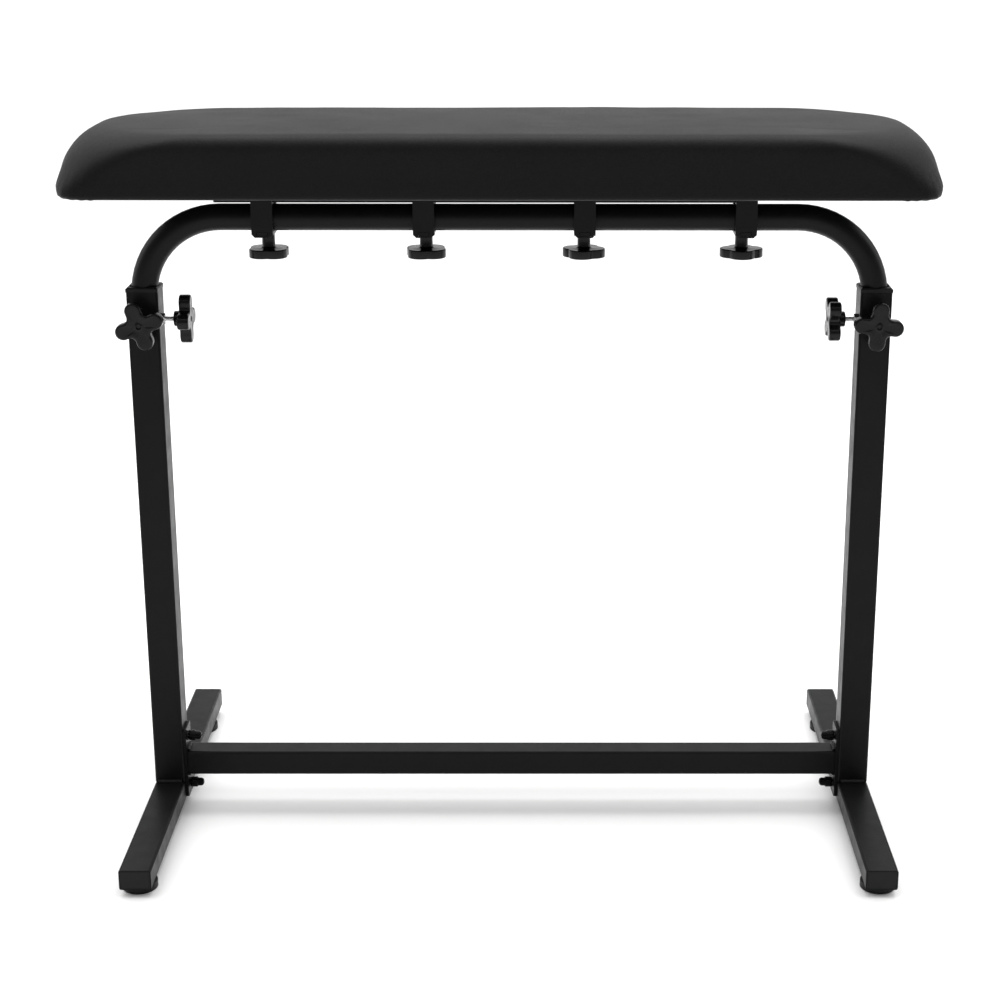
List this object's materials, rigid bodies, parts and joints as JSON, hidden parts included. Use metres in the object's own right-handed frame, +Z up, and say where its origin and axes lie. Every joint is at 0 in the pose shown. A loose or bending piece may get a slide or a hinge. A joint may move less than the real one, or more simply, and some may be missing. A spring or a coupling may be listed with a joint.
{
  "type": "padded bench",
  "caption": "Long padded top clamped to a U-shaped tube that slides in the square posts of a welded frame: height and tilt are set with knobs.",
  "frame": {"origin": "on the floor, under the middle of the bounding box", "axes": "+X along the pad, +Y to the rear (away from the star knobs on the fronts of the posts), +Z up"},
  "size_m": [0.79, 0.435, 0.6895],
  "materials": {
    "powder_coat": "satin",
    "gloss_black_plastic": "gloss",
    "matte_black_plastic": "matte",
    "zinc_steel": "satin",
    "cover_leather": "satin",
    "foam": "matte",
    "plywood": "matte",
    "dust_cloth": "matte"
  },
  "bodies": {
    "frame": {"foot_left": "powder_coat", "foot_right": "powder_coat", "foot_end_caps": "matte_black_plastic", "post_left": "powder_coat", "post_right": "powder_coat", "frame_welds": "powder_coat", "star_weld_nuts": "zinc_steel", "collar_left": "matte_black_plastic", "collar_right": "matte_black_plastic", "crossbar": "powder_coat", "end_plate_left": "powder_coat", "end_plate_right": "powder_coat", "threaded_inserts": "zinc_steel"},
    "carriage": {"u_tube": "powder_coat", "leg_guide_plugs": "matte_black_plastic"},
    "top": {"seat_cover": "cover_leather", "foam_core": "foam", "base_board": "plywood", "dust_cover": "dust_cloth", "support_rail": "powder_coat", "rail_screws": "zinc_steel", "clamp_weld_nuts": "zinc_steel", "clamp_1_bracket": "powder_coat", "clamp_2_bracket": "powder_coat", "clamp_3_bracket": "powder_coat", "clamp_4_bracket": "powder_coat", "clamp_1_jaw": "powder_coat", "clamp_2_jaw": "powder_coat", "clamp_3_jaw": "powder_coat", "clamp_4_jaw": "powder_coat"},
    "star_left_front": {"star_knob_left_front": "gloss_black_plastic", "star_stud_left_front": "zinc_steel"},
    "star_left_side": {"star_knob_left_side": "gloss_black_plastic", "star_stud_left_side": "zinc_steel"},
    "thumb_bolt_left_upper": {"bolt_cap_left_upper": "gloss_black_plastic", "bolt_shank_left_upper": "zinc_steel"},
    "thumb_bolt_left_lower": {"bolt_cap_left_lower": "gloss_black_plastic", "bolt_shank_left_lower": "zinc_steel"},
    "glide_front_left_foot": {"glide_front_left": "matte_black_plastic"},
    "glide_rear_left_foot": {"glide_rear_left": "matte_black_plastic"},
    "star_right_front": {"star_knob_right_front": "gloss_black_plastic", "star_stud_right_front": "zinc_steel"},
    "star_right_side": {"star_knob_right_side": "gloss_black_plastic", "star_stud_right_side": "zinc_steel"},
    "thumb_bolt_right_upper": {"bolt_cap_right_upper": "gloss_black_plastic", "bolt_shank_right_upper": "zinc_steel"},
    "thumb_bolt_right_lower": {"bolt_cap_right_lower": "gloss_black_plastic", "bolt_shank_right_lower": "zinc_steel"},
    "glide_front_right_foot": {"glide_front_right": "matte_black_plastic"},
    "glide_rear_right_foot": {"glide_rear_right": "matte_black_plastic"},
    "clamp_screw_1": {"clamp_knob_1": "gloss_black_plastic", "clamp_stud_1": "zinc_steel"},
    "clamp_screw_2": {"clamp_knob_2": "gloss_black_plastic", "clamp_stud_2": "zinc_steel"},
    "clamp_screw_3": {"clamp_knob_3": "gloss_black_plastic", "clamp_stud_3": "zinc_steel"},
    "clamp_screw_4": {"clamp_knob_4": "gloss_black_plastic", "clamp_stud_4": "zinc_steel"}
  },
  "joints": [
    {"name": "height_slide", "type": "slide", "parent": "frame", "child": "carriage", "axis": [0, 0, 1], "range_m": [0, 0.25]},
    {"name": "pad_tilt", "type": "hinge", "parent": "carriage", "child": "top", "pos_m": [0, -0.012, 0.5995], "axis": [1, 0, 0], "range_deg": [-60, 60]},
    {"name": "star_left_front_turn", "type": "hinge", "parent": "frame", "child": "star_left_front", "pos_m": [-0.3382, -0.042, 0.5025], "axis": [0, -1, 0], "continuous": true},
    {"name": "star_left_side_turn", "type": "hinge", "parent": "frame", "child": "star_left_side", "pos_m": [-0.3082, -0.012, 0.5025], "axis": [1, 0, 0], "continuous": true},
    {"name": "thumb_bolt_left_upper_turn", "type": "hinge", "parent": "frame", "child": "thumb_bolt_left_upper", "pos_m": [-0.3202, -0.012, 0.073], "axis": [1, 0, 0], "continuous": true},
    {"name": "thumb_bolt_left_lower_turn", "type": "hinge", "parent": "frame", "child": "thumb_bolt_left_lower", "pos_m": [-0.3202, -0.012, 0.0215], "axis": [1, 0, 0], "continuous": true},
    {"name": "glide_front_left_turn", "type": "hinge", "parent": "frame", "child": "glide_front_left_foot", "pos_m": [-0.3382, -0.195, 0], "axis": [0, 0, 1], "continuous": true},
    {"name": "glide_rear_left_turn", "type": "hinge", "parent": "frame", "child": "glide_rear_left_foot", "pos_m": [-0.3382, 0.171, 0], "axis": [0, 0, 1], "continuous": true},
    {"name": "star_right_front_turn", "type": "hinge", "parent": "frame", "child": "star_right_front", "pos_m": [0.3522, -0.042, 0.5025], "axis": [0, -1, 0], "continuous": true},
    {"name": "star_right_side_turn", "type": "hinge", "parent": "frame", "child": "star_right_side", "pos_m": [0.3222, -0.012, 0.5025], "axis": [-1, 0, 0], "continuous": true},
    {"name": "thumb_bolt_right_upper_turn", "type": "hinge", "parent": "frame", "child": "thumb_bolt_right_upper", "pos_m": [0.3342, -0.012, 0.073], "axis": [-1, 0, 0], "continuous": true},
    {"name": "thumb_bolt_right_lower_turn", "type": "hinge", "parent": "frame", "child": "thumb_bolt_right_lower", "pos_m": [0.3342, -0.012, 0.0215], "axis": [-1, 0, 0], "continuous": true},
    {"name": "glide_front_right_turn", "type": "hinge", "parent": "frame", "child": "glide_front_right_foot", "pos_m": [0.3522, -0.195, 0], "axis": [0, 0, 1], "continuous": true},
    {"name": "glide_rear_right_turn", "type": "hinge", "parent": "frame", "child": "glide_rear_right_foot", "pos_m": [0.3522, 0.171, 0], "axis": [0, 0, 1], "continuous": true},
    {"name": "clamp_screw_1_turn", "type": "hinge", "parent": "top", "child": "clamp_screw_1", "pos_m": [-0.2225, 0.014, 0.563], "axis": [0, 0, 1], "continuous": true},
    {"name": "clamp_screw_2_turn", "type": "hinge", "parent": "top", "child": "clamp_screw_2", "pos_m": [-0.0725, 0.014, 0.563], "axis": [0, 0, 1], "continuous": true},
    {"name": "clamp_screw_3_turn", "type": "hinge", "parent": "top", "child": "clamp_screw_3", "pos_m": [0.0775, 0.014, 0.563], "axis": [0, 0, 1], "continuous": true},
    {"name": "clamp_screw_4_turn", "type": "hinge", "parent": "top", "child": "clamp_screw_4", "pos_m": [0.2275, 0.014, 0.563], "axis": [0, 0, 1], "continuous": true}
  ]
}
